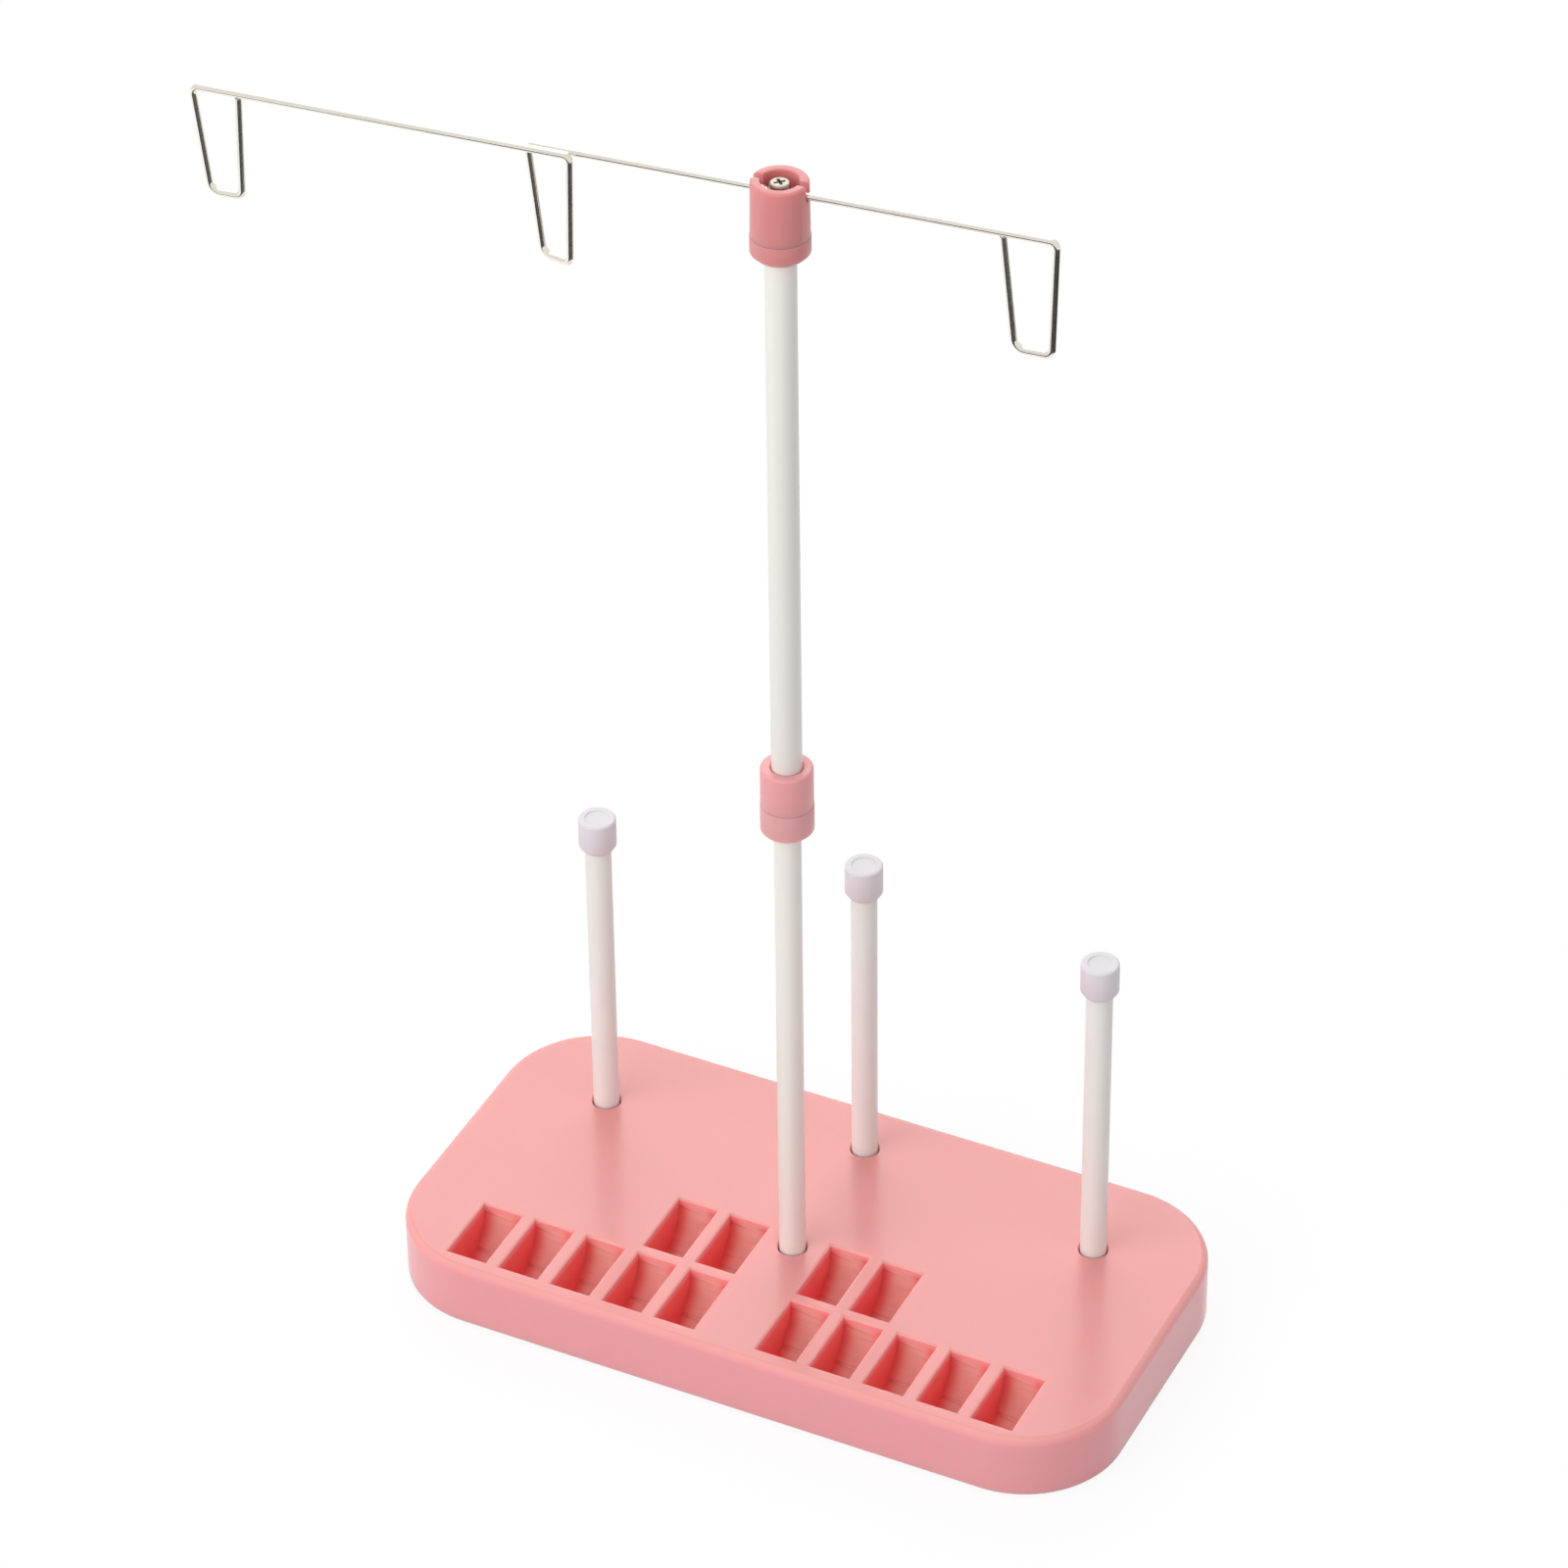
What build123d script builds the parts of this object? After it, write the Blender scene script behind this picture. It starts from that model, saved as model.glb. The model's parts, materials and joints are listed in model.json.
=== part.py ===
from build123d import *
import os

# A thread rack for three spools, with pockets for bobbins, in millimetres.
# The origin is on the surface that the rack stands on, under the middle of its base.
# +X runs along the base to the right, +Y runs to its back and +Z is up.

# Shared by the whole rack
running_clearance = 0.05
turning_gap = 0.1
fitting_clearance = 0.2
overrun = 1.0

# The base: one shell, closed below by a plate with a non-slip pad
base_length = 220.0
base_width = 114.0
base_height = 19.5
base_corner_radius = 29.5
base_rim_radius = 2.4
base_wall = 2.4
base_top_thickness = 2.4
rib_thickness = 1.5
rib_offset_x = 48.0
rib_offset_y = 16.0
plate_thickness = 1.6
pad_thickness = 1.0
pad_length = 180.0
pad_width = 92.0
pad_corner_radius = 16.0

# The screws that hold the plate
plate_screw_end_inset = 14.0
plate_screw_side_inset = 24.0
plate_screw_radius = 1.25
plate_screw_head_radius = 2.6
plate_screw_length = 11.0
plate_screw_slot_width = 0.8
plate_screw_slot_depth = 0.6
screw_boss_wall = 2.2

# The bobbin pockets: two rows, mirrored about the mast
pocket_width = 12.2
pocket_length = 22.4
pocket_depth = 14.0
pocket_pitch = 16.4
pocket_wall = 1.5
pocket_edge_radius = 0.8
pocket_row_gap = 3.4
first_pocket_offset = 9.7
front_row_inset = 5.6
front_row_count = 5
upper_row_count = 2

# The sockets and the pins that stand in them
socket_depth = 16.0
socket_boss_wall = 2.5
socket_mouth_radius = 4.6
socket_mouth_depth = 1.5
pin_radius = 3.75
pin_bore_radius = 2.25
pin_foot_chamfer = 0.5
pin_reach = 101.2
outer_pin_end_inset = 32.7
outer_pin_back_inset = 29.7
middle_pin_back_inset = 17.3

# The caps on the pins
cap_radius = 5.4
cap_height = 10.4
cap_top_thickness = 1.5
cap_edge_radius = 0.7
cap_skirt_chamfer_height = 1.5
cap_skirt_chamfer_width = 0.9
cap_dish_radius = 3.4
cap_dish_depth = 0.3

# The mast: a thin tube that stands in the base, and a wider one that slides over it
mast_y = -8.0
lower_tube_wall = 0.5
upper_tube_wall = 0.4
mast_overlap = 45.0
bush_length = 8.0
bush_head_height = 1.0
bush_bore_radius = 1.8

# The height collar at the foot of the upper tube
collar_foot_z = 168.3
collar_ring_height = 8.8
collar_body_height = 12.2
collar_radius = 7.25
collar_ring_proud = 0.12
collar_edge_radius = 0.9
collar_mouth_gap = 0.5
collar_mouth_depth = 0.8
collar_seat_height = 1.9
collar_web_height = 1.4
collar_spigot_depth = 3.5
collar_spigot_radius = 6.0
collar_ring_floor = 2.0
collar_ring_chamfer = 0.9
collet_thickness = 1.1
collet_slit = 0.8

# The holder at the top of the mast: a ring on the tube and a cap that turns on it
holder_foot_z = 349.8
holder_ring_height = 6.2
holder_ring_radius = 7.9
holder_ring_chamfer = 1.5
holder_cap_height = 15.7
holder_cap_foot_radius = 7.75
holder_cap_top_radius = 7.55
holder_cup_radius = 5.0
holder_cup_depth = 4.3
holder_floor = 2.2
holder_edge_radius = 0.8
holder_cup_edge_radius = 0.4
holder_notch_width = 2.4
holder_notch_drop = 0.5
holder_plug_length = 11.9
guide_screw_radius = 1.5
guide_screw_head_radius = 2.75
guide_screw_head_height = 1.6
guide_screw_head_round = 0.7
guide_screw_length = 11.7
guide_screw_cross_length = 3.0
guide_screw_cross_width = 0.7
guide_screw_cross_depth = 0.9

# The thread guide: one bent wire, turned a little on the mast
guide_turn = 5.5
wire_diameter = 2.0
left_arm = 160.5
right_arm = 73.2
middle_loop_reach = 68.1
loop_width = 13.0
loop_depth = 32.0
loop_width_shares = (1.0, 0.94, 1.08)
loop_depth_shares = (0.96, 1.0, 1.04)
loop_outer_lean = 3.3
loop_inner_lean = 0.8
loop_pass_gap = 0.1
tight_bend = 2.0
loop_foot_bend = 3.2
screw_bend = 1.6
screw_bow_reach = 3.0
screw_bow_top = 1.7
screw_bow_foot = 4.2

# Places worked out from the sizes above
base_top_z = pad_thickness + base_height
front_row_back_y = front_row_inset + pocket_length - base_width / 2
plate_top_z = pad_thickness + plate_thickness
cavity_top_z = base_top_z - base_top_thickness
socket_floor_z = base_top_z - socket_depth
socket_radius = pin_radius + running_clearance
upper_tube_bore = pin_radius + running_clearance
upper_tube_radius = upper_tube_bore + upper_tube_wall
lower_tube_bore = pin_radius - lower_tube_wall
lower_tube_top_z = collar_foot_z + mast_overlap
collar_seam_z = collar_foot_z + collar_ring_height + turning_gap
collar_top_z = collar_seam_z + collar_body_height
upper_tube_foot_z = collar_seam_z + collar_seat_height
collet_bore = pin_radius + running_clearance
collet_radius = collet_bore + collet_thickness
collet_foot_z = collar_foot_z + collar_ring_floor + turning_gap
collet_top_z = upper_tube_foot_z - collar_web_height
holder_cap_foot_z = holder_foot_z + holder_ring_height + turning_gap
holder_top_z = holder_cap_foot_z + holder_cap_height
seat_z = holder_top_z - holder_cup_depth
holder_floor_z = seat_z - holder_floor
upper_tube_top_z = holder_floor_z - turning_gap
wire_radius = wire_diameter / 2
bar_z = seat_z + wire_radius
screw_head_z = seat_z + wire_diameter + running_clearance
guide_screw_foot_z = screw_head_z - guide_screw_length
plate_screw_x = base_length / 2 - plate_screw_end_inset
plate_screw_y = base_width / 2 - plate_screw_side_inset
outer_pin_x = base_length / 2 - outer_pin_end_inset
outer_pin_y = base_width / 2 - outer_pin_back_inset
pin_places = {
    "left": (-outer_pin_x, outer_pin_y),
    "middle": (0, base_width / 2 - middle_pin_back_inset),
    "right": (outer_pin_x, outer_pin_y),
}


def upright(radius, foot_z, top_z, x=0, y=0):
    """A cylinder that stands at x, y between two heights."""
    return Pos(x, y, (foot_z + top_z) / 2) * Cylinder(radius, top_z - foot_z)


def tube(radius, bore, foot_z, top_z, x=0, y=0):
    """A tube that stands at x, y between two heights."""
    hole = upright(bore, foot_z - overrun, top_z + overrun, x, y)
    return upright(radius, foot_z, top_z, x, y) - hole


def cone(foot_radius, top_radius, foot_z, top_z, x=0, y=0):
    """A cone cut short, standing at x, y between two heights."""
    return Pos(x, y, (foot_z + top_z) / 2) * Cone(foot_radius, top_radius, top_z - foot_z)


def rounded_slab(length, width, corner_radius, foot_z, top_z):
    """A flat slab with round corners, centred on the base."""
    outline = RectangleRounded(length, width, corner_radius)
    return Pos(0, 0, foot_z) * extrude(outline, amount=top_z - foot_z)


def block(x_range, y_range, z_range):
    """A box between three pairs of limits."""
    (x0, x1), (y0, y1), (z0, z1) = x_range, y_range, z_range
    middle = Pos((x0 + x1) / 2, (y0 + y1) / 2, (z0 + z1) / 2)
    return middle * Box(x1 - x0, y1 - y0, z1 - z0)


def solid_of(shape):
    """The one solid in a shape, so that each node is written as a plain solid."""
    return shape.solids()[0]


def pocket_places():
    """The middle of each pocket: the front row, then the upper row, both sides of the mast."""
    front_y = front_row_back_y - pocket_length / 2
    upper_y = front_row_back_y + pocket_row_gap + pocket_length / 2
    places = []
    for side in (-1, 1):
        for count, y in ((front_row_count, front_y), (upper_row_count, upper_y)):
            for i in range(count):
                x = first_pocket_offset + i * pocket_pitch + pocket_width / 2
                places.append((side * x, y))
    return places


def trough(x, y, grow):
    """The straight-sided space of one pocket with its half-round bottom, grown on all sides."""
    half_width = pocket_width / 2 + grow
    radius = pocket_length / 2 + grow
    centre_z = base_top_z - pocket_depth + pocket_length / 2
    sides = block(
        (x - half_width, x + half_width),
        (y - radius, y + radius),
        (centre_z, base_top_z + overrun),
    )
    bottom = Pos(x, y, centre_z) * Rot(0, 90, 0) * Cylinder(radius, 2 * half_width)
    return sides + bottom


def screw_places():
    """The four corners where the plate is screwed to the shell."""
    return [(x, y) for x in (-plate_screw_x, plate_screw_x) for y in (-plate_screw_y, plate_screw_y)]


def base_shell():
    """The moulded base: shell, ribs, pocket cups, screw bosses and the four sockets."""
    body = rounded_slab(base_length, base_width, base_corner_radius, pad_thickness, base_top_z)
    body = fillet(body.edges().group_by(Axis.Z)[-1], base_rim_radius)
    inner_length = base_length - 2 * base_wall
    inner_width = base_width - 2 * base_wall
    cavity = rounded_slab(
        inner_length,
        inner_width,
        base_corner_radius - base_wall,
        pad_thickness,
        cavity_top_z,
    )
    ribs_z = (plate_top_z, cavity_top_z + base_top_thickness / 2)
    inside = block(
        (-inner_length / 2, inner_length / 2),
        (rib_offset_y - rib_thickness / 2, rib_offset_y + rib_thickness / 2),
        ribs_z,
    )
    for x in (-rib_offset_x, 0, rib_offset_x):
        front_y = mast_y if x == 0 else front_row_back_y + pocket_row_gap
        inside += block(
            (x - rib_thickness / 2, x + rib_thickness / 2),
            (front_y, inner_width / 2),
            ribs_z,
        )
    sockets = [*pin_places.values(), (0, mast_y)]
    for x, y in sockets:
        inside += upright(socket_radius + socket_boss_wall, *ribs_z, x, y)
    for x, y in screw_places():
        inside += upright(plate_screw_radius + screw_boss_wall, *ribs_z, x, y)
    for x, y in pocket_places():
        inside += trough(x, y, pocket_wall)
    body = body - cavity + (inside & cavity)
    for x, y in pocket_places():
        body -= trough(x, y, 0)
    rims = [e for e in body.edges() if on_pocket_rim(e)]
    body = fillet(rims, pocket_edge_radius)
    for x, y in sockets:
        body -= upright(socket_radius, socket_floor_z, base_top_z + overrun, x, y)
        mouth_foot_z = base_top_z - socket_mouth_depth
        body -= cone(socket_radius, socket_mouth_radius, mouth_foot_z, base_top_z, x, y)
    hole_top_z = pad_thickness + plate_screw_length + running_clearance
    for x, y in screw_places():
        body -= upright(plate_screw_radius, plate_top_z - overrun, hole_top_z, x, y)
    return solid_of(body)


def on_pocket_rim(edge):
    """True for an edge of a pocket's mouth: it lies in the top face, beside a pocket's middle."""
    centre = edge.center()
    if abs(centre.Z - base_top_z) > running_clearance:
        return False
    return any(
        abs(centre.X - x) <= pocket_width / 2 + running_clearance
        and abs(centre.Y - y) <= pocket_length / 2 + running_clearance
        for x, y in pocket_places()
    )


def countersunk_space(x, y, head_radius, shank_radius):
    """A countersunk head that is flush with the plate's underside, and the shank above it."""
    head_top_z = pad_thickness + head_radius - shank_radius
    head = cone(head_radius, shank_radius, pad_thickness, head_top_z, x, y)
    return head + upright(shank_radius, pad_thickness, pad_thickness + plate_screw_length, x, y)


def base_plate():
    """The flat plate that closes the base from below, with four countersunk holes."""
    shrink = 2 * (base_wall + fitting_clearance)
    plate = rounded_slab(
        base_length - shrink,
        base_width - shrink,
        base_corner_radius - shrink / 2,
        pad_thickness,
        plate_top_z,
    )
    for x, y in screw_places():
        plate -= countersunk_space(x, y, plate_screw_head_radius, plate_screw_radius)
    return solid_of(plate)


def plate_screws():
    """Four slotted countersunk screws, as one group."""
    screws = []
    for x, y in screw_places():
        screw = countersunk_space(x, y, plate_screw_head_radius, plate_screw_radius)
        slot = block(
            (x - plate_screw_head_radius, x + plate_screw_head_radius),
            (y - plate_screw_slot_width / 2, y + plate_screw_slot_width / 2),
            (pad_thickness - overrun, pad_thickness + plate_screw_slot_depth),
        )
        screws.append(solid_of(screw - slot))
    return Compound(children=screws)


def non_slip_pad():
    """The thin sheet that the rack stands on, stuck to the plate."""
    return solid_of(rounded_slab(pad_length, pad_width, pad_corner_radius, 0, pad_thickness))


def spool_pin(x, y):
    """A plastic tube that is pushed into its socket."""
    pin = tube(pin_radius, pin_bore_radius, socket_floor_z, base_top_z + pin_reach, x, y)
    foot = pin.edges().group_by(Axis.Z)[0].sort_by(SortBy.LENGTH)[-1]
    return solid_of(chamfer(foot, pin_foot_chamfer))


def pin_cap(x, y):
    """The cap over the end of a pin: a closed skirt with a tapered lower edge."""
    top_z = base_top_z + pin_reach + cap_top_thickness
    foot_z = top_z - cap_height
    skirt_z = foot_z + cap_skirt_chamfer_height
    cap = upright(cap_radius, skirt_z, top_z, x, y)
    cap = fillet(cap.edges().group_by(Axis.Z)[-1], cap_edge_radius)
    cap += cone(cap_radius - cap_skirt_chamfer_width, cap_radius, foot_z, skirt_z, x, y)
    cap -= upright(cap_dish_radius, top_z - cap_dish_depth, top_z + overrun, x, y)
    cap -= upright(pin_radius, foot_z - overrun, top_z - cap_top_thickness, x, y)
    return solid_of(cap)


def mast_lower_tube():
    """The thin tube that stands in the base and runs up inside the wider one."""
    return solid_of(tube(pin_radius, lower_tube_bore, socket_floor_z, lower_tube_top_z, 0, mast_y))


def mast_end_bush():
    """The bush in the top end of the lower tube, which runs along the upper tube's bore."""
    head_top_z = lower_tube_top_z + bush_head_height
    bush = upright(lower_tube_bore, lower_tube_top_z - bush_length, lower_tube_top_z, 0, mast_y)
    bush += upright(pin_radius, lower_tube_top_z, head_top_z, 0, mast_y)
    bush -= upright(
        bush_bore_radius, lower_tube_top_z - bush_length - overrun, head_top_z + overrun, 0, mast_y
    )
    return solid_of(bush)


def mast_upper_tube():
    """The wider tube that slides over the lower one."""
    return solid_of(
        tube(upper_tube_radius, upper_tube_bore, upper_tube_foot_z, upper_tube_top_z, 0, mast_y)
    )


def collar_body():
    """The upper part of the height collar, fixed to the foot of the upper tube."""
    body = upright(collar_radius, collar_seam_z, collar_top_z, 0, mast_y)
    body = fillet(body.edges().group_by(Axis.Z)[-1], collar_edge_radius)
    spigot_foot_z = collar_seam_z - collar_spigot_depth
    body += upright(collar_spigot_radius, spigot_foot_z, collar_seam_z, 0, mast_y)
    mouth_radius = upper_tube_radius + collar_mouth_gap
    mouth_foot_z = collar_top_z - collar_mouth_depth
    body -= cone(upper_tube_radius, mouth_radius, mouth_foot_z, collar_top_z, 0, mast_y)
    body -= upright(upper_tube_radius, upper_tube_foot_z, collar_top_z + overrun, 0, mast_y)
    body -= upright(
        collet_bore, spigot_foot_z - overrun, upper_tube_foot_z + overrun, 0, mast_y
    )
    body -= upright(
        collet_radius + running_clearance, spigot_foot_z - overrun, collet_top_z, 0, mast_y
    )
    return solid_of(body)


def collar_collet():
    """The split sleeve inside the collar, which grips the lower tube when the ring is tight."""
    sleeve = tube(collet_radius, collet_bore, collet_foot_z, collet_top_z, 0, mast_y)
    slit = block(
        (-collet_slit / 2, collet_slit / 2),
        (mast_y, mast_y + collet_radius + overrun),
        (collet_foot_z - overrun, collet_top_z + overrun),
    )
    return solid_of(sleeve - slit)


def collar_ring():
    """The lower part of the collar, which is twisted to clamp the mast at a height."""
    radius = collar_radius + collar_ring_proud
    ring_top_z = collar_foot_z + collar_ring_height
    ring = upright(radius, collar_foot_z, ring_top_z, 0, mast_y)
    ring = chamfer(ring.edges().group_by(Axis.Z)[0], collar_ring_chamfer)
    ring -= upright(
        collar_spigot_radius + running_clearance,
        collar_foot_z + collar_ring_floor,
        ring_top_z + overrun,
        0,
        mast_y,
    )
    ring -= upright(
        pin_radius + turning_gap, collar_foot_z - overrun, ring_top_z + overrun, 0, mast_y
    )
    return solid_of(ring)


def holder_ring():
    """The ring that is fixed to the upper tube and carries the turning cap."""
    ring_top_z = holder_foot_z + holder_ring_height
    ring = upright(holder_ring_radius, holder_foot_z, ring_top_z, 0, mast_y)
    ring = chamfer(ring.edges().group_by(Axis.Z)[0], holder_ring_chamfer)
    ring -= upright(
        upper_tube_radius, holder_foot_z - overrun, ring_top_z + overrun, 0, mast_y
    )
    return solid_of(ring)


def holder_cap():
    """The cap that holds the wire: a cup above, a bore for the tube below, two notches."""
    cap = cone(
        holder_cap_foot_radius, holder_cap_top_radius, holder_cap_foot_z, holder_top_z, 0, mast_y
    )
    cap = fillet(cap.edges().group_by(Axis.Z)[-1], holder_edge_radius)
    cup = upright(holder_cup_radius, seat_z, holder_top_z + overrun, 0, mast_y)
    cap -= cup
    cup_rim = cap.edges().group_by(Axis.Z)[-1].sort_by(SortBy.LENGTH)[0]
    cap = fillet(cup_rim, holder_cup_edge_radius)
    cap -= upright(
        upper_tube_radius + running_clearance,
        holder_cap_foot_z - overrun,
        holder_floor_z,
        0,
        mast_y,
    )
    cap -= upright(
        guide_screw_radius + turning_gap, holder_floor_z - overrun, seat_z + overrun, 0, mast_y
    )
    notch = block(
        (-holder_cap_foot_radius - overrun, holder_cap_foot_radius + overrun),
        (-holder_notch_width / 2, holder_notch_width / 2),
        (seat_z - holder_notch_drop, holder_top_z + overrun),
    )
    wall = upright(holder_cup_radius, holder_cap_foot_z, holder_top_z, 0, mast_y)
    return solid_of(cap - (turned_with_guide(notch) - wall))


def turned_with_guide(shape):
    """Turns a shape made along the X axis to the guide's direction and puts it on the mast."""
    return Pos(0, mast_y, 0) * Rot(0, 0, guide_turn) * shape


def holder_plug():
    """The plug in the top end of the upper tube, which the guide's screw bites into."""
    foot_z = upper_tube_top_z - holder_plug_length
    plug = upright(upper_tube_bore, foot_z, upper_tube_top_z, 0, mast_y)
    plug -= upright(
        guide_screw_radius, guide_screw_foot_z, upper_tube_top_z + overrun, 0, mast_y
    )
    return solid_of(plug)


def guide_screw():
    """A pan-head screw with a cross recess, which holds the wire and the cap on the mast."""
    head_top_z = screw_head_z + guide_screw_head_height
    screw = upright(guide_screw_head_radius, screw_head_z, head_top_z, 0, mast_y)
    screw = fillet(screw.edges().group_by(Axis.Z)[-1], guide_screw_head_round)
    screw += upright(guide_screw_radius, guide_screw_foot_z, screw_head_z, 0, mast_y)
    arm = Box(guide_screw_cross_length, guide_screw_cross_width, 2 * guide_screw_cross_depth)
    for turn in (45, 135):
        screw -= Pos(0, mast_y, head_top_z) * Rot(0, 0, turn) * arm
    return solid_of(screw)


def guide_wire():
    """The bent wire: an end loop, the bar with a full turn for the middle loop, an end loop."""
    front = -(wire_diameter + loop_pass_gap)
    end_z = bar_z - wire_radius - loop_pass_gap
    widths = [loop_width * share for share in loop_width_shares]
    foot_zs = [bar_z - loop_depth * share for share in loop_depth_shares]
    outer_lean, inner_lean = loop_outer_lean, loop_inner_lean
    middle_end = -middle_loop_reach + widths[1]
    route = [
        ((-left_arm + widths[0], front, end_z), None),
        ((-left_arm + widths[0] - inner_lean, front, foot_zs[0]), tight_bend),
        ((-left_arm + outer_lean, front, foot_zs[0]), loop_foot_bend),
        ((-left_arm, front, bar_z), tight_bend),
        ((middle_end, front, bar_z), tight_bend),
        ((middle_end - inner_lean, front, foot_zs[1]), tight_bend),
        ((-middle_loop_reach + outer_lean, 0, foot_zs[1]), loop_foot_bend),
        ((-middle_loop_reach, 0, bar_z), tight_bend),
        ((-screw_bow_foot, 0, bar_z), screw_bend),
        ((-screw_bow_top, -screw_bow_reach, bar_z), screw_bend),
        ((screw_bow_top, -screw_bow_reach, bar_z), screw_bend),
        ((screw_bow_foot, 0, bar_z), screw_bend),
        ((right_arm, 0, bar_z), tight_bend),
        ((right_arm - inner_lean, 0, foot_zs[2]), tight_bend),
        ((right_arm - widths[2] + outer_lean, 0, foot_zs[2]), loop_foot_bend),
        ((right_arm - widths[2], 0, end_z), None),
    ]
    points = [point for point, bend in route]
    bends = [bend for point, bend in route if bend]
    path = FilletPolyline(*points, radius=bends)
    section = Plane(origin=path @ 0, z_dir=path % 0) * Circle(wire_radius)
    return solid_of(turned_with_guide(sweep(section, path=path)))


nodes = {
    "base_shell": base_shell(),
    "base_plate": base_plate(),
    "plate_screws": plate_screws(),
    "non_slip_pad": non_slip_pad(),
    "mast_lower_tube": mast_lower_tube(),
    "mast_end_bush": mast_end_bush(),
    "mast_upper_tube": mast_upper_tube(),
    "collar_body": collar_body(),
    "collar_collet": collar_collet(),
    "collar_ring": collar_ring(),
    "holder_ring": holder_ring(),
    "holder_cap": holder_cap(),
    "holder_plug": holder_plug(),
    "guide_screw": guide_screw(),
    "guide_wire": guide_wire(),
}
for side, (pin_x, pin_y) in pin_places.items():
    nodes["spool_pin_" + side] = spool_pin(pin_x, pin_y)
    nodes["pin_cap_" + side] = pin_cap(pin_x, pin_y)

os.makedirs("parts", exist_ok=True)
for name, shape in nodes.items():
    export_step(shape, "parts/" + name + ".step")
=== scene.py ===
import json
import math

import bmesh
import bpy
from mathutils import Matrix, Vector

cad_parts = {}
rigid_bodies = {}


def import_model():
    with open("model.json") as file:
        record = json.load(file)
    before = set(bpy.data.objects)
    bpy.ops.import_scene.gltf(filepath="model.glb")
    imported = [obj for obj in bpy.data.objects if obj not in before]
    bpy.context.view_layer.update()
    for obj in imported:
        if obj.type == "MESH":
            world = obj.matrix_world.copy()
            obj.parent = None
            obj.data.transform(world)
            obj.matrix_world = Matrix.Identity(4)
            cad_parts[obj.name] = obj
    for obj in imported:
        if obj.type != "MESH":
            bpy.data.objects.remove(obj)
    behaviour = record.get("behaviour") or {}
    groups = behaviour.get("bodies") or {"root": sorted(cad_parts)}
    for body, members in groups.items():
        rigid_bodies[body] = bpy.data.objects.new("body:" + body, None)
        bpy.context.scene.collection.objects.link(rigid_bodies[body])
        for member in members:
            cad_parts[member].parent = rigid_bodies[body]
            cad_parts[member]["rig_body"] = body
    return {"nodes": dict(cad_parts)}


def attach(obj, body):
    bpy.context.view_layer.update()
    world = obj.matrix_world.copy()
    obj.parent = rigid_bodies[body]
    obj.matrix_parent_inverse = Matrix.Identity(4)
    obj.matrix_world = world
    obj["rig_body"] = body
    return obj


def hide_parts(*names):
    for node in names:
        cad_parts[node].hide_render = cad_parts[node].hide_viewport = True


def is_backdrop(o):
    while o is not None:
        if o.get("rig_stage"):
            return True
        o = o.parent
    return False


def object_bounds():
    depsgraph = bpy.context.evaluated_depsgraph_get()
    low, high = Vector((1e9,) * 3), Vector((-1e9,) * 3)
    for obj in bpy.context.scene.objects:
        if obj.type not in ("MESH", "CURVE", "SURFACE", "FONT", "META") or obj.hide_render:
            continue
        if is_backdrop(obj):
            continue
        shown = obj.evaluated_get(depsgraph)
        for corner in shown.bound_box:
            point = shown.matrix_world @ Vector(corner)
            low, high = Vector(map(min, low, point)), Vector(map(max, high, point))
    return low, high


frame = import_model()
nodes = frame["nodes"]
cad_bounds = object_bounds()


# The base is one shell of pink plastic, moulded in a single shot with its pockets and sockets.
# The mould left a fine satin on its faces and a small round on every rim. Painted light is in its
# colour: paler rims for their highlights, a wall pink for how light falls on the walls, and a
# painted red glow of light caught in the pockets, deeper as painted shade by their side walls.
class Term:
    """One value in a finish, so that its maths can be written as an expression."""

    def __init__(self, recipe, socket):
        self.recipe = recipe
        self.socket = socket

    def maths(self, operation, *values):
        return self.recipe.node("ShaderNodeMath", {"operation": operation}, values)

    def __add__(self, other):
        return self.maths("ADD", self, other)

    def __radd__(self, other):
        return self.maths("ADD", other, self)

    def __sub__(self, other):
        return self.maths("SUBTRACT", self, other)

    def __rsub__(self, other):
        return self.maths("SUBTRACT", other, self)

    def __mul__(self, other):
        return self.maths("MULTIPLY", self, other)

    def __rmul__(self, other):
        return self.maths("MULTIPLY", other, self)

    def __mod__(self, other):
        return self.maths("MODULO", self, other)

    def __abs__(self):
        return self.maths("ABSOLUTE", self)

    def __lt__(self, other):
        return self.maths("LESS_THAN", self, other)

    def __gt__(self, other):
        return self.maths("GREATER_THAN", self, other)


class Recipe:
    """The nodes of one finish, or of the light in the room."""

    def __init__(self, tree, result):
        self.tree = tree
        self.tree.nodes.clear()
        self.result = self.tree.nodes.new(result)

    def node(self, kind, settings=None, values=(), output=0):
        """Adds a node: first its settings, then values or links by position or by name."""
        made = self.tree.nodes.new(kind)
        for name, value in (settings or {}).items():
            setattr(made, name, value)
        pairs = values.items() if isinstance(values, dict) else enumerate(values)
        for key, value in pairs:
            if isinstance(value, Term):
                self.tree.links.new(value.socket, made.inputs[key])
            else:
                made.inputs[key].default_value = value
        return Term(self, made.outputs[output])

    def show(self, shader):
        """Makes this shader the one that is seen."""
        self.tree.links.new(shader.socket, self.result.inputs["Surface"])


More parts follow.
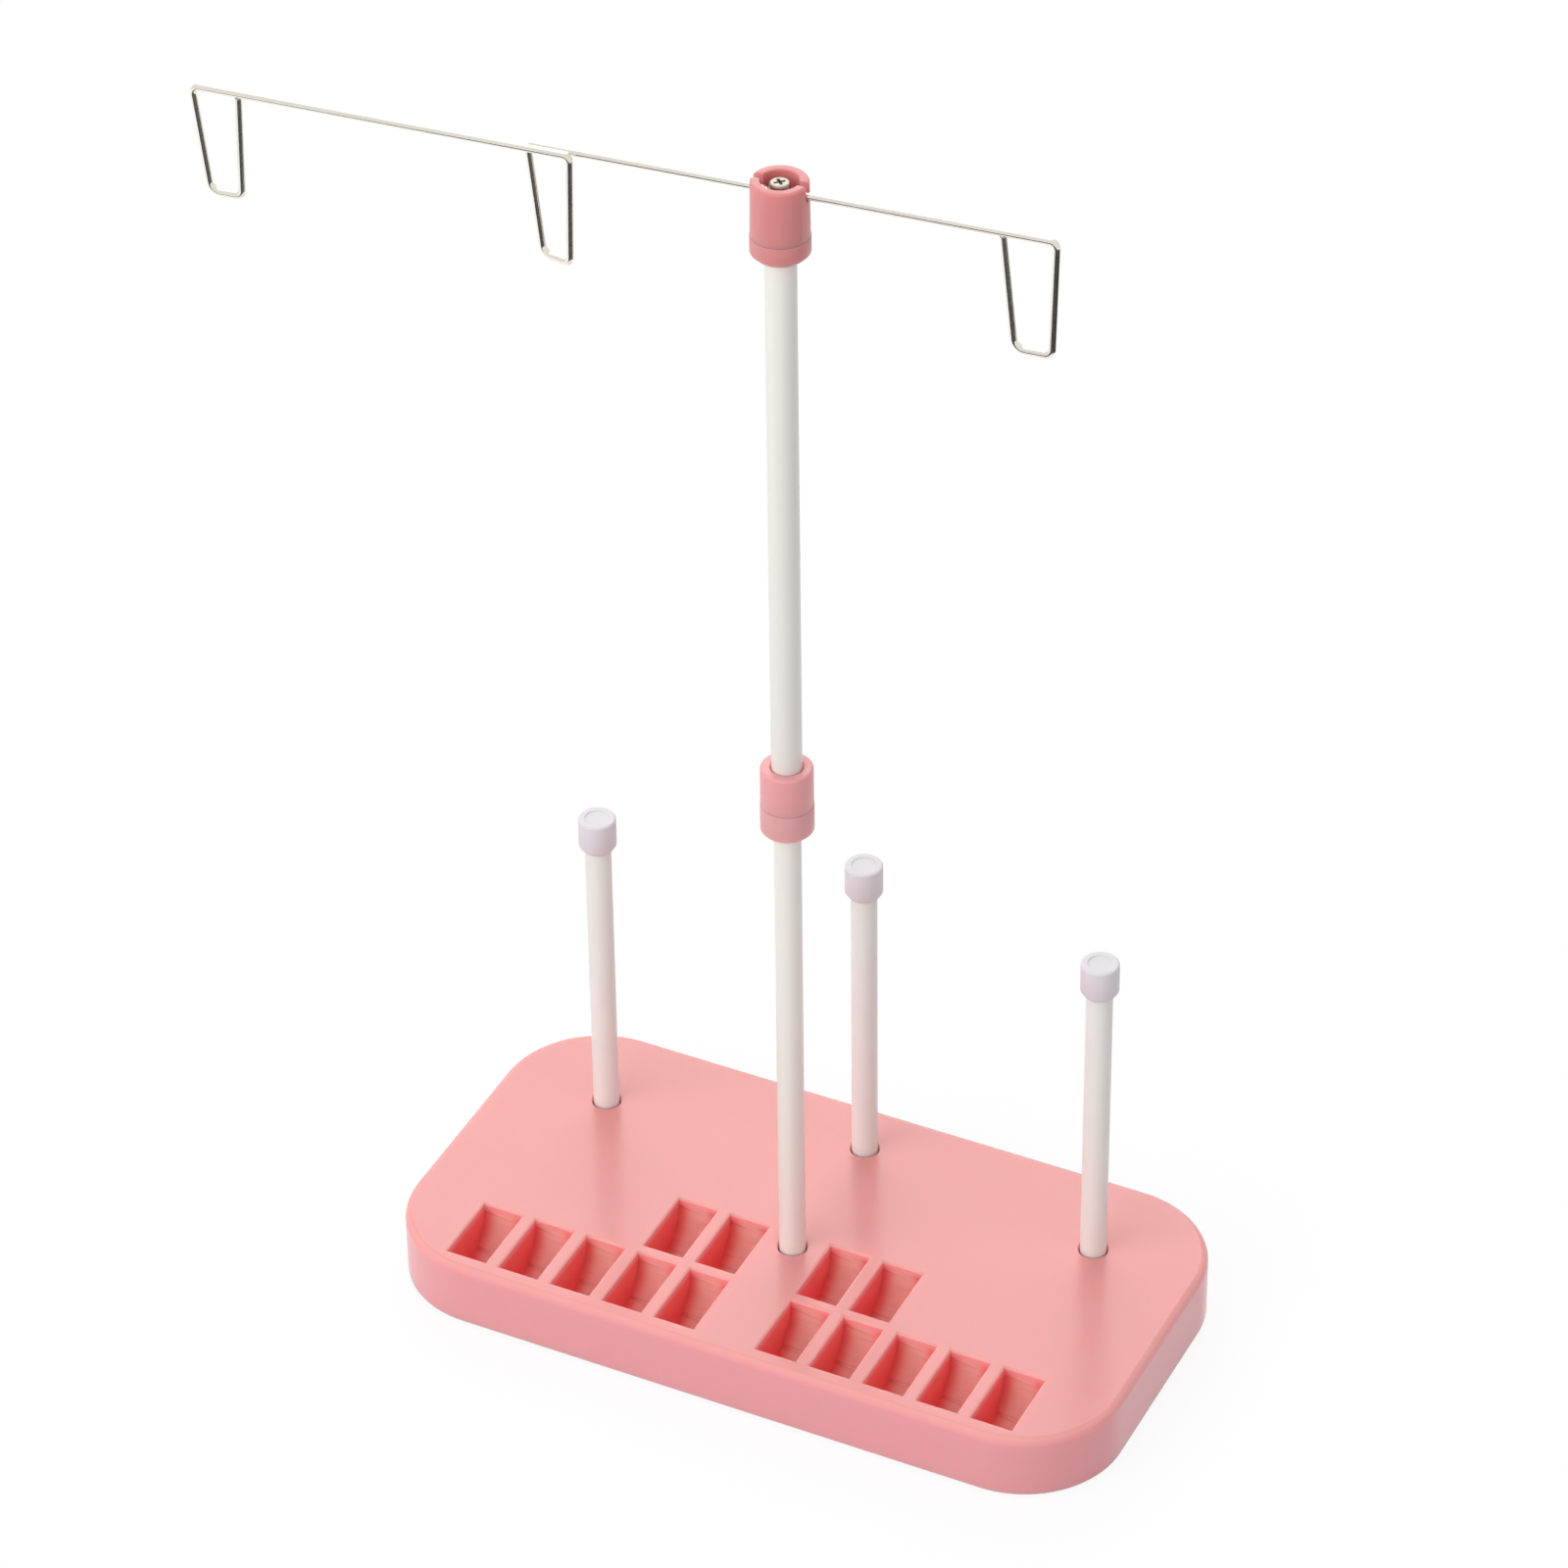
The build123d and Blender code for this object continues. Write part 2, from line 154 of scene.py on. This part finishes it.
class Finish(Recipe):
    """A material in the making: one principled surface, and the nodes that vary it."""

    def __init__(self, name, **constants):
        self.material = bpy.data.materials.new(name)
        self.material.use_nodes = True
        super().__init__(self.material.node_tree, "ShaderNodeOutputMaterial")
        values = {socket.replace("_", " "): value for socket, value in constants.items()}
        self.surface = self.node("ShaderNodeBsdfPrincipled", values=values)
        self.show(self.surface)
        self.place = self.node("ShaderNodeTexCoord", output="Object")

    def noise(self, scale, detail=2.0, roughness=0.5):
        """Soft noise around the piece, from 0 to 1, with a scale in waves per metre."""
        values = {"Vector": self.place, "Scale": scale, "Detail": detail, "Roughness": roughness}
        return self.node("ShaderNodeTexNoise", values=values)

    def feed(self, socket, term):
        """Links a value to one of the surface's own sockets."""
        self.tree.links.new(term.socket, self.surface.socket.node.inputs[socket])

    def axis(self, letter):
        """The place along X, Y or Z, in metres."""
        number = "XYZ".index(letter)
        return self.node("ShaderNodeSeparateXYZ", values=(self.place,), output=number)

    def ramp(self, value, start, end):
        """A soft step from 0 at one value to 1 at another."""
        settings = {"interpolation_type": "SMOOTHSTEP"}
        values = {"Value": value, "From Min": start, "From Max": end}
        return self.node("ShaderNodeMapRange", settings, values)

    def colours(self, first, second, share):
        """A colour between two, by a share. Each is three numbers or a colour worked out before."""
        first, second = (c if isinstance(c, Term) else (*c, 1) for c in (first, second))
        values = {mix_share: share, mix_first: first, mix_second: second}
        return self.node("ShaderNodeMix", {"data_type": "RGBA"}, values, output=mixed_colour)

    def relief(self, height, depth):
        """Turns a height from 0 to 1 into bumps of that depth in metres."""
        values = {"Height": height, "Distance": depth}
        self.feed("Normal", self.node("ShaderNodeBump", values=values))


def moulded_plastic(name, pale, deep, roughness, toned=None, **depth):
    """Injection-moulded plastic: a hair of colour drift, uneven satin and a fine mould grain."""
    finish = Finish(name, IOR=plastic_ior, **depth)
    clouds = finish.noise(cloud_waves, detail=3) * cloud_share
    specks = finish.noise(speck_waves, detail=2) * (1 - cloud_share)
    colour = finish.colours(pale, deep, clouds + specks)
    satin = roughness - satin_swing + 2 * satin_swing * finish.noise(satin_waves, detail=4)
    if toned:
        colour, satin = toned(finish, colour, satin)
    finish.feed("Base Color", colour)
    finish.feed("Roughness", satin)
    grain = finish.noise(grain_waves, detail=2, roughness=0.6) * grain_share
    ripple = finish.noise(ripple_waves, detail=3) * (1 - grain_share)
    finish.relief(grain + ripple, grain_depth)
    return finish.material


def base_tones(finish, colour, satin):
    """Painted light: paler rims for their highlights, a cooler wall pink for how light falls on the
    walls, a painted red glow in the duller pockets and painted shade by their side walls.
    """
    height = finish.axis("Z")
    highlight_band_foot = base_top - highlight_band_depth
    # painted highlight: the top rims are paler, for the light that their small rounds catch
    painted_rim_highlight = finish.colours(colour, painted_highlight_pink, finish.ramp(height, base_top, highlight_band_foot))
    # painted light: the walls get their own cooler pink, for how the light falls on them
    painted_wall_share = finish.ramp(height, highlight_band_foot, base_top - wall_start)
    painted_wall_light = finish.colours(painted_rim_highlight, pink_wall_painted_light, painted_wall_share)
    across = abs(finish.axis("X"))
    along = finish.axis("Y")
    in_pockets = (across < pockets_side) * (along > pockets_front) * (along < pockets_back)
    # painted light in the pockets: a red glow for light caught inside, and deeper red painted shade
    # by the side walls
    in_pocket = (across - pocket_first) % pocket_pitch
    shade_fade_left = finish.ramp(in_pocket, 0.0, painted_shade_width)
    shade_fade_right = finish.ramp(pocket_width - in_pocket, 0.0, painted_shade_width)
    painted_pocket_light = finish.colours(painted_shade_red, painted_glow_red, shade_fade_left * shade_fade_right)
    painted_glow_and_dullness_share = in_pockets * finish.ramp(height, highlight_band_foot, base_top - painted_glow_depth)
    return finish.colours(painted_wall_light, painted_pocket_light, painted_glow_and_dullness_share), satin + pocket_dullness * painted_glow_and_dullness_share


def merged_copy(node, material, flat_angle=None):
    """A copy of a CAD node with its loose triangles merged, shown in the node's place."""
    mesh = nodes[node].data.copy()
    bm = bmesh.new()
    bm.from_mesh(mesh)
    bmesh.ops.remove_doubles(bm, verts=bm.verts, dist=merge_distance)
    if flat_angle:
        bmesh.ops.dissolve_limit(bm, angle_limit=flat_angle, verts=bm.verts, edges=bm.edges)
    for face in bm.faces:
        face.smooth = True
    bm.to_mesh(mesh)
    bm.free()
    mesh.materials.clear()
    mesh.materials.append(material)
    piece = bpy.data.objects.new(node + "_finished", mesh)
    bpy.context.scene.collection.objects.link(piece)
    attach(piece, nodes[node]["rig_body"])
    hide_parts(node)
    return piece


def flat_faces(piece):
    """Lets each vertex follow its largest faces, so that flat and straight stretches look true."""
    piece.data.set_sharp_from_angle(angle=hard_angle)
    shading = piece.modifiers.new("flat_faces", "WEIGHTED_NORMAL")
    shading.keep_sharp = True


# where a Mix node of colours has its share, its two colours and its result
mix_share, mix_first, mix_second, mixed_colour = 0, 6, 7, 2

# the plastic's own marks: noises in waves per metre, what share each has, and depths in metres
plastic_ior = 1.49
cloud_waves = 14
cloud_share = 0.7
speck_waves = 420
satin_waves = 60
satin_swing = 0.05
grain_waves = 2600
grain_share = 0.6
grain_depth = 0.00003
ripple_waves = 240

# where the base's painted highlights, wall light, pocket glow and shade change, in metres, and its
# colours
base_top = 0.0205
highlight_band_depth = 0.0003
painted_glow_depth = 0.0035
wall_start = 0.0016
pockets_side = 0.0895
pockets_front = -0.0525
pockets_back = 0.0
pocket_first = 0.0097
pocket_pitch = 0.0164
pocket_width = 0.0122
painted_shade_width = 0.0045
pocket_dullness = 0.45
base_roughness = 0.21
pink_pale = (0.847, 0.336, 0.322)
pink_deep = (0.822, 0.315, 0.303)
# painted highlight on the rims
painted_highlight_pink = (0.905, 0.390, 0.365)
# painted light on the outer walls
pink_wall_painted_light = (0.930, 0.352, 0.378)
# painted glow in the pockets, and painted shade by their side walls
painted_glow_red = (1.000, 0.470, 0.420)
painted_shade_red = (0.990, 0.155, 0.150)
pink_depth = {
    "Subsurface_Weight": 0.5,
    "Subsurface_Radius": (1.0, 0.25, 0.22),
    "Subsurface_Scale": 0.006,
}

merge_distance = 0.000001
hard_angle = math.radians(32)
base_pink = moulded_plastic(
    "base_pink", pink_pale, pink_deep, base_roughness, toned=base_tones, **pink_depth
)
flat_faces(merged_copy("base_shell", base_pink))

# The plate that closes the base from below is of the same pink plastic, and so is hardly seen.
# Four countersunk screws of plated steel hold it in the corners.
pink_roughness = 0.36
pink = moulded_plastic("pink_plastic", pink_pale, pink_deep, pink_roughness, **pink_depth)

coplanar_angle = math.radians(0.4)
rounding_steps = 3
fine_edge = 0.0001
soft_edge = 0.0002
full_edge = 0.0003


def rounded_copy(node, material, edge):
    """A merged copy whose hard edges are rounded to a small radius."""
    piece = merged_copy(node, material, flat_angle=coplanar_angle)
    rounding = piece.modifiers.new("rounding", "BEVEL")
    rounding.width = edge
    rounding.segments = rounding_steps
    rounding.limit_method = "ANGLE"
    rounding.angle_limit = hard_angle
    rounding.harden_normals = True


rounded_copy("base_plate", pink, full_edge)

steel_pale = (0.44, 0.40, 0.35)
steel_deep = (0.32, 0.29, 0.25)
steel_roughness = 0.38
steel_cloud_waves = 300
steel_satin_waves = 1500
steel_satin_swing = 0.04
steel_grain_waves = 4000
steel_grain_depth = 0.000004


def plated_steel(name, pale, deep, roughness):
    """Plated steel: bright, with tiny clouding, uneven satin and the finest of grains."""
    finish = Finish(name, Metallic=1.0)
    cloud = finish.noise(steel_cloud_waves, detail=3)
    finish.feed("Base Color", finish.colours(pale, deep, cloud))
    swing = 2 * steel_satin_swing * finish.noise(steel_satin_waves, detail=3)
    finish.feed("Roughness", roughness - steel_satin_swing + swing)
    finish.relief(finish.noise(steel_grain_waves), steel_grain_depth)
    return finish.material


screw_steel = plated_steel("screw_steel", steel_pale, steel_deep, steel_roughness)
rounded_copy("plate_screws", screw_steel, fine_edge)

# The pad is a thin sheet of dark grey rubber foam with open pores. It is stuck under the plate,
# so that the rack stays put when thread is drawn from it.
rubber_pale = (0.13, 0.125, 0.125)
rubber_deep = (0.08, 0.078, 0.078)
rubber_ior = 1.45
rubber_roughness = 0.85
rubber_swing = 0.1
rubber_satin_waves = 200
pore_waves = 1800
pore_depth = 0.0002


def foam_rubber(name):
    """Fine-celled rubber: matt, with open pores."""
    finish = Finish(name, IOR=rubber_ior)
    pores = finish.noise(pore_waves, detail=3, roughness=0.7)
    finish.feed("Base Color", finish.colours(rubber_pale, rubber_deep, pores))
    finish.feed("Roughness", rubber_roughness + rubber_swing * finish.noise(rubber_satin_waves))
    finish.relief(pores, pore_depth)
    return finish.material


rounded_copy("non_slip_pad", foam_rubber("pad_rubber"), fine_edge)

# The three spool pins are plain tubes of off-white plastic. Each is pushed into a socket of the
# base and pulls out again.
white_pale = (0.88, 0.84, 0.80)
white_deep = (0.85, 0.81, 0.77)
white_roughness = 0.40
white_depth = {
    "Subsurface_Weight": 0.6,
    "Subsurface_Radius": (1.0, 0.9, 0.8),
    "Subsurface_Scale": 0.004,
}
white = moulded_plastic("white_plastic", white_pale, white_deep, white_roughness, **white_depth)
for side in ("left", "middle", "right"):
    rounded_copy("spool_pin_" + side, white, soft_edge)

# A cap of pale lilac plastic closes each pin. Its edges are rounded, so that a spool slides on
# without catching.
lilac_pale = (0.76, 0.715, 0.765)
lilac_deep = (0.72, 0.675, 0.73)
lilac_roughness = 0.48
lilac = moulded_plastic("lilac_plastic", lilac_pale, lilac_deep, lilac_roughness)
for side in ("left", "middle", "right"):
    rounded_copy("pin_cap_" + side, lilac, soft_edge)

# The mast is two thin steel tubes with a smooth off-white coat. The upper one slides over the
# lower one, on a plastic bush in the lower tube's end.
coat_pale = (0.86, 0.83, 0.785)
coat_deep = (0.83, 0.80, 0.755)
coat_roughness = 0.34
coat = moulded_plastic("white_coat", coat_pale, coat_deep, coat_roughness)
rounded_copy("mast_lower_tube", coat, fine_edge)
rounded_copy("mast_upper_tube", coat, fine_edge)
rounded_copy("mast_end_bush", white, soft_edge)

# The height collar is two pink mouldings on the foot of the upper tube, with a split sleeve
# inside that grips the lower tube when the ring below is twisted.
collar_pale = (0.860, 0.385, 0.395)
collar_deep = (0.835, 0.360, 0.372)
collar_pink = moulded_plastic(
    "collar_pink", collar_pale, collar_deep, pink_roughness, **pink_depth
)
rounded_copy("collar_body", collar_pink, soft_edge)
rounded_copy("collar_ring", collar_pink, soft_edge)
rounded_copy("collar_collet", white, fine_edge)

# The holder at the top of the mast is a pink ring and a cap that turns on it. The cap's cup
# is open above, and a screw in it holds the wire down in two notches.
# painted shade: the holder's pink is darker than the collar's, for the weaker light at the top of
# the mast
holder_shaded_pale = (0.715, 0.280, 0.276)
holder_shaded_deep = (0.690, 0.260, 0.258)
holder_shaded_pink = moulded_plastic(
    "holder_shaded_pink", holder_shaded_pale, holder_shaded_deep, pink_roughness, **pink_depth
)
rounded_copy("holder_ring", holder_shaded_pink, soft_edge)
rounded_copy("holder_cap", holder_shaded_pink, full_edge)
rounded_copy("holder_plug", white, fine_edge)
rounded_copy("guide_screw", screw_steel, fine_edge)

# The thread guide is one length of bright steel wire, bent cold: a loop at each end and a full
# turn for the loop between them. It bows round the screw in the cup.
wire_pale = (0.96, 0.92, 0.84)
wire_deep = (0.90, 0.86, 0.78)
wire_roughness = 0.20
wire_metal = plated_steel("guide_wire_metal", wire_pale, wire_deep, wire_roughness)
flat_faces(merged_copy("guide_wire", wire_metal))


# The rack stands on a wide plain table. The camera, and whatever mirrors the table, sees it
# white with a breath of shadow, while its light on the rack is that of a grey board.
def seen_white(recipe):
    """1 for rays that look at a surface or mirror it, 0 for rays that carry light."""
    rays = ("Is Camera Ray", "Is Glossy Ray", "Is Transmission Ray")
    camera, mirrored, through = (recipe.node("ShaderNodeLightPath", output=ray) for ray in rays)
    return camera + mirrored + through > 0.0


table_size = 6.0
table_grey = (0.45, 0.45, 0.45, 1)
plain_white = (1, 1, 1, 1)
matt_roughness = 0.9
shadow_share = 0.11


def white_table():
    """A flat table whose white comes from its colour, with a share left for shadows."""
    bm = bmesh.new()
    bmesh.ops.create_grid(bm, x_segments=1, y_segments=1, size=table_size / 2)
    mesh = bpy.data.meshes.new("table")
    bm.to_mesh(mesh)
    bm.free()
    finish = Finish("table_white", Base_Color=table_grey, Roughness=matt_roughness)
    glow = finish.node("ShaderNodeEmission", values={"Color": plain_white})
    matt = finish.node("ShaderNodeBsdfDiffuse", values={"Color": plain_white})
    shown = finish.node("ShaderNodeMixShader", values=(shadow_share, glow, matt))
    both = (seen_white(finish), finish.surface, shown)
    finish.show(finish.node("ShaderNodeMixShader", values=both))
    mesh.materials.append(finish.material)
    table = bpy.data.objects.new("table", mesh)
    bpy.context.scene.collection.objects.link(table)
    table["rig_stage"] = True


white_table()

# The light is a wide soft box at the front left and others behind, above and at the right, in
# an even pale room. A dark card on the table gives the bright wire its dark lines.
room_grey = (0.8, 0.8, 0.8, 1)
room_light = 0.62


def pale_room():
    """An even room that looks pale to the camera and lights the rack more weakly."""
    world = bpy.data.worlds.new("pale_room")
    bpy.context.scene.world = world
    world.use_nodes = True
    room = Recipe(world.node_tree, "ShaderNodeOutputWorld")
    strength = room_light + (1 - room_light) * seen_white(room)
    sky = {"Color": room_grey, "Strength": strength}
    room.show(room.node("ShaderNodeBackground", values=sky))


def soft_box(name, place, size, power, mirrored=True):
    """A square soft box at a place, aimed at the middle of the rack."""
    lamp = bpy.data.lights.new(name, "AREA")
    lamp.shape = "SQUARE"
    lamp.size = size
    lamp.energy = power
    box = bpy.data.objects.new(name, lamp)
    box.location = place
    box.rotation_mode = "QUATERNION"
    box.rotation_quaternion = (light_target - Vector(place)).to_track_quat("-Z", "Y")
    box.visible_glossy = mirrored
    bpy.context.scene.collection.objects.link(box)


pale_room()
light_target = Vector((0, 0, 0.12))
soft_box("key_box", place=(-0.8, -1.6, 0.95), size=2.0, power=27.5, mirrored=False)
soft_box("back_box", place=(-0.62, 1.26, 1.06), size=1.5, power=13)
soft_box("top_box", place=(-0.2, 0.1, 1.7), size=0.8, power=2)
soft_box("side_box", place=(1.9, -0.4, 0.6), size=1.5, power=7, mirrored=False)


def dark_card():
    """Part of a flat dark ring, in front on the table, that only shows in what mirrors it."""
    bm = bmesh.new()
    bmesh.ops.create_cone(
        bm, segments=card_segments, radius1=card_outer, radius2=card_inner, depth=0.0,
        matrix=Matrix.Translation((0, 0, card_height)),
    )
    middles = {face: face.calc_center_median().xy for face in bm.faces}
    away = [face for face, at in middles.items() if at.dot(card_side) < card_share * at.length]
    bmesh.ops.delete(bm, geom=away, context="FACES")
    mesh = bpy.data.meshes.new("dark_card")
    bm.to_mesh(mesh)
    bm.free()
    finish = Finish("card_black", Base_Color=card_black, Roughness=matt_roughness)
    mesh.materials.append(finish.material)
    card = bpy.data.objects.new("dark_card", mesh)
    bpy.context.scene.collection.objects.link(card)
    for ray in ("camera", "diffuse", "transmission", "volume_scatter", "shadow"):
        setattr(card, "visible_" + ray, False)
    card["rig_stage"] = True


card_black = (0.02, 0.02, 0.02, 1)
card_segments = 64
card_outer = 1.15
card_inner = 0.34
card_height = 0.002
card_side = Vector((0.66, -0.75))
card_share = 0.26
dark_card()

# The camera looks down on the rack from the right of its front, from 1.8 m away, with a long
# lens. It is rolled a little, to share out the slight lean of the photographed mast.
camera_azimuth = math.radians(26.385)
camera_elevation = math.radians(36.719)
camera_roll = math.radians(-0.717)
camera_distance = 1.8
camera_side_step = 0.00242
camera_rise = 0.130543
camera_lens = 146.106
camera_sensor = 36
mast_foot = Vector((0, -0.008, base_top))


def place_camera():
    """The camera at the photograph's viewing angle."""
    across = math.cos(camera_elevation)
    back = Vector((
        math.sin(camera_azimuth) * across,
        -math.cos(camera_azimuth) * across,
        math.sin(camera_elevation),
    ))
    level = Vector((math.cos(camera_azimuth), math.sin(camera_azimuth), 0))
    upward = back.cross(level)
    right = level * math.cos(camera_roll) + upward * math.sin(camera_roll)
    up = upward * math.cos(camera_roll) - level * math.sin(camera_roll)
    data = bpy.data.cameras.new("camera")
    data.lens = camera_lens
    data.sensor_width = camera_sensor
    camera = bpy.data.objects.new("camera", data)
    turn = Matrix((right, up, back)).transposed().to_4x4()
    place = mast_foot + back * camera_distance - right * camera_side_step + up * camera_rise
    camera.matrix_world = Matrix.Translation(place) @ turn
    bpy.context.scene.collection.objects.link(camera)
    bpy.context.scene.camera = camera


place_camera()
bpy.context.scene.view_settings.view_transform = "Standard"
sizes = {"cad": cad_bounds, "visual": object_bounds()}
sizes = {name: [list(corner) for corner in corners] for name, corners in sizes.items()}
